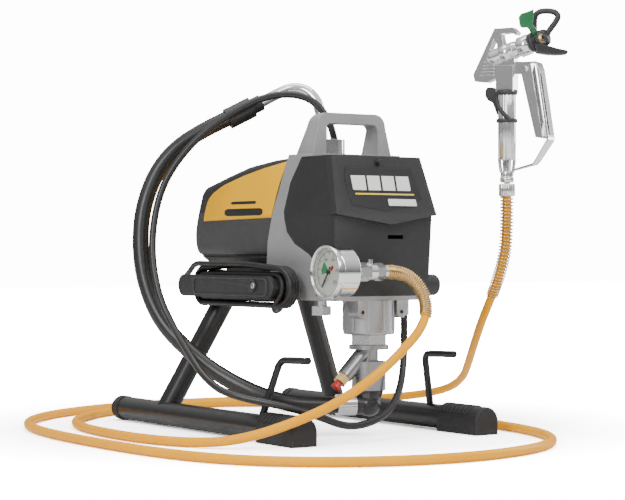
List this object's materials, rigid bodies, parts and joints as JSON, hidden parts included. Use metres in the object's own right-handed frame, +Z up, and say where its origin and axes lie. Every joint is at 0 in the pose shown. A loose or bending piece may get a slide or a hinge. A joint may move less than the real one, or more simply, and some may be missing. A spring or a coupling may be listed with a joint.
{
  "type": "airless paint sprayer",
  "caption": "Skid-mounted electric piston paint sprayer with gauge, suction set, long paint hose, cord wrap and hand-held spray gun.",
  "frame": {"origin": "on the floor, midway between the two skid runners, below the motor", "axes": "+Z up, -Y towards the front cover and pump, +X to the right as seen from the front (the pressure knob side)"},
  "size_m": [0.7637, 0.8868, 0.5785],
  "materials": {
    "casing_grey": "grey powder coat, slightly textured",
    "cover_black": "fine grained near-black moulding",
    "panel_amber": "satin amber-yellow moulding",
    "badge": "dark recess with plain stripes",
    "frame_black": "black powder coat",
    "foot_rubber": "matte moulded shoe",
    "steel": "turned steel",
    "chrome": "bright plated",
    "alloy": "satin casting with machined bands",
    "pump_metal": "dull nickel-plated steel",
    "black_fitting": "black plated steel",
    "brass": "machined brass",
    "button_red": "red moulding",
    "knob_black": "knurled moulding",
    "gauge_case": "polished stainless case",
    "dial": "printed cream dial",
    "needle": "black pointer",
    "lens": "clear flat lens",
    "hose_yellow": "smooth amber-yellow jacket",
    "hose_black": "satin black hose",
    "cord_black": "matte cord jacket",
    "laminations": "stacked laminations",
    "fan_plastic": "moulded fan",
    "key_green": "green moulding",
    "guard_black": "moulded safety guard"
  },
  "bodies": {
    "root": {"badge_plate": "badge", "base_bracket": "frame_black", "case_screws": "steel", "cord_gland": "cord_black", "cord_wrap": "cover_black", "drip_cup": "chrome", "foot_caps": "foot_rubber", "front_cover": "cover_black", "gauge_case": "gauge_case", "gauge_dial": "dial", "gauge_glass": "lens", "gear_casing": "casing_grey", "gun_spring": "steel", "hose_cuff": "hose_black", "hose_hooks": "frame_black", "left_leg": "frame_black", "left_runner": "frame_black", "lock_nut": "steel", "motor_shroud": "cover_black", "motor_stator": "laminations", "outlet_fitting": "chrome", "outlet_spring": "steel", "paint_hose": "hose_yellow", "power_cord_coil": "cord_black", "power_cord_lead": "cord_black", "power_plug": "cord_black", "pressure_sensor": "steel", "prime_valve": "steel", "pump_cylinder": "pump_metal", "pump_housing": "alloy", "pusher_nut": "brass", "rear_plugs": "foot_rubber", "return_fitting": "steel", "return_hose": "hose_black", "right_leg": "frame_black", "right_runner": "frame_black", "side_panels": "panel_amber", "suction_elbow": "black_fitting", "suction_hose": "hose_black", "suction_nut": "chrome", "suction_pipe": "chrome"},
    "crank": {"crankshaft": "steel", "drive_gear": "steel"},
    "motor_rotor": {"armature": "steel", "cooling_fan": "fan_plastic"},
    "piston": {"piston_rod": "chrome"},
    "con_rod": {"connecting_rod": "steel"},
    "knob": {"pressure_knob": "knob_black"},
    "prime": {"prime_lever": "knob_black"},
    "rocker": {"power_switch": "knob_black"},
    "pusher": {"inlet_pusher": "button_red"},
    "needle": {"gauge_needle": "needle"},
    "gun": {"gun_handle": "chrome", "gun_body": "chrome", "trigger_guard": "chrome"},
    "trigger": {"gun_trigger": "chrome"},
    "lock": {"trigger_lock": "knob_black"},
    "guard": {"tip_guard": "guard_black"},
    "tip": {"tip_key": "key_green"}
  },
  "joints": [
    {"name": "crank_turn", "type": "hinge", "parent": "root", "child": "crank", "pos_m": [0, -0.124, 0.25], "axis": [0, 1, 0], "continuous": true},
    {"name": "rotor_turn", "type": "hinge", "parent": "root", "child": "motor_rotor", "pos_m": [0, 0.02, 0.304], "axis": [0, 1, 0], "continuous": true},
    {"name": "piston_stroke", "type": "slide", "parent": "root", "child": "piston", "axis": [0, 0, 1], "range_m": [0, 0.024]},
    {"name": "con_rod_swing", "type": "hinge", "parent": "piston", "child": "con_rod", "pos_m": [0, -0.178, 0.188], "axis": [0, 1, 0], "range_deg": [-13, 13]},
    {"name": "pressure_knob_turn", "type": "hinge", "parent": "root", "child": "knob", "pos_m": [0.084, -0.175, 0.199], "axis": [1, 0, 0], "range_deg": [0, 270]},
    {"name": "prime_lever_turn", "type": "hinge", "parent": "root", "child": "prime", "pos_m": [0.088, -0.118, 0.205], "axis": [-1, 0, 0], "range_deg": [0, 90]},
    {"name": "power_switch_rock", "type": "hinge", "parent": "root", "child": "rocker", "pos_m": [0.074, 0.03, 0.262], "axis": [0, 0, 1], "range_deg": [0, 12]},
    {"name": "inlet_pusher_press", "type": "slide", "parent": "root", "child": "pusher", "axis": [0.7071, 0, 0.7071], "range_m": [0, 0.004], "stiffness_N_per_m": 400, "springref_m": -0.001},
    {"name": "gauge_needle_swing", "type": "hinge", "parent": "root", "child": "needle", "pos_m": [-0.107, -0.241, 0.218], "axis": [1, 0, 0], "range_deg": [0, 270], "stiffness_Nm_per_rad": 0.0002, "springref_deg": -34.38},
    {"name": "gun_swivel", "type": "hinge", "parent": "root", "child": "gun", "pos_m": [0.23, -0.183, 0.32], "axis": [0, 0, 1], "continuous": true},
    {"name": "trigger_pull", "type": "hinge", "parent": "gun", "child": "trigger", "pos_m": [0.24428, -0.21164, 0.494], "axis": [0.8949, 0.4462, 0], "range_deg": [0, 18], "stiffness_Nm_per_rad": 0.6, "springref_deg": -8.59},
    {"name": "trigger_lock_turn", "type": "hinge", "parent": "gun", "child": "lock", "pos_m": [0.23, -0.183, 0.438], "axis": [0, 0, 1], "range_deg": [0, 75]},
    {"name": "tip_guard_turn", "type": "hinge", "parent": "gun", "child": "guard", "pos_m": [0.22286, -0.16868, 0.512], "axis": [0.4231, -0.8487, 0.3173], "range_deg": [-90, 90]},
    {"name": "tip_turn", "type": "hinge", "parent": "guard", "child": "tip", "pos_m": [0.25121, -0.22554, 0.53326], "axis": [-0.6293, -0.0233, 0.7768], "range_deg": [0, 180]}
  ],
  "couplings": [
    {"joint": "rotor_turn", "follows": "crank_turn", "ratio": -5}
  ]
}
